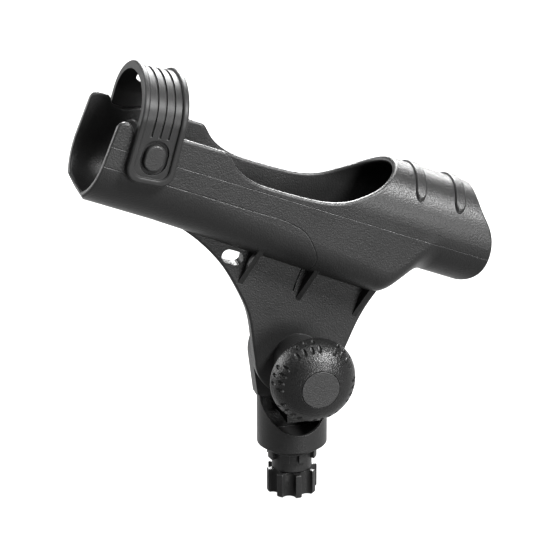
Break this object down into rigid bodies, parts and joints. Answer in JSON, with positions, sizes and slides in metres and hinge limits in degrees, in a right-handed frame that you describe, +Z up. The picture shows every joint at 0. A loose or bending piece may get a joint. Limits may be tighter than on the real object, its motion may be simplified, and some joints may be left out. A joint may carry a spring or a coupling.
{
  "type": "fishing rod holder",
  "caption": "Tilting fishing rod holder: open cradle with strap and closed butt ring on a toothed joint clamped by a knob, with a lobed plug-in spigot.",
  "frame": {"origin": "centre of the spigot's collar at the seat under the base", "axes": "+Z up along the spigot, +X towards the closed butt ring, -Y towards the clamping knob; the tilt axis runs along Y"},
  "size_m": [0.2445, 0.0938, 0.2788],
  "materials": {
    "base_nylon": "black moulded nylon, fine spark-eroded grain",
    "cradle_nylon": "black glass-filled nylon, satin with fine grain",
    "knob_nylon": "black moulded nylon, satin",
    "cap_nylon": "black moulded nylon, fine grain",
    "stud_nylon": "black moulded nylon",
    "strap_elastomer": "black thermoplastic elastomer, smooth satin",
    "stainless": "bright A4 stainless steel",
    "spring_steel": "drawn stainless wire",
    "brass": "turned brass"
  },
  "bodies": {
    "base": {"base_body": "base_nylon", "pivot_bolt": "stainless", "release_spring": "spring_steel"},
    "clamp": {"thrust_washer": "stainless"},
    "knob": {"knob_shell": "knob_nylon", "knob_insert": "brass", "knob_cap": "cap_nylon"},
    "holder": {"rod_cradle": "cradle_nylon", "hub_sleeve": "brass"},
    "strap": {"strap": "strap_elastomer", "strap_stud_near": "stud_nylon", "strap_stud_far": "stud_nylon"}
  },
  "joints": [
    {"name": "clamp_travel", "type": "slide", "parent": "base", "child": "clamp", "axis": [0, 1, 0], "range_m": [-0.00063, 0.00125], "deforming": ["release_spring"]},
    {"name": "tilt", "type": "hinge", "parent": "clamp", "child": "holder", "pos_m": [0, 0, 0.061], "axis": [0, 1, 0], "range_deg": [-60, 45]},
    {"name": "knob_turn", "type": "hinge", "parent": "clamp", "child": "knob", "pos_m": [0, 0, 0.061], "axis": [0, 1, 0], "range_deg": [-182, 362]},
    {"name": "strap_swing", "type": "hinge", "parent": "holder", "child": "strap", "pos_m": [-0.09014, 0, 0.20304], "axis": [0, 1, 0], "range_deg": [-22, 32]}
  ],
  "couplings": [
    {"joint": "knob_turn", "follows": "clamp_travel", "rad_per_m": 5026.5}
  ]
}
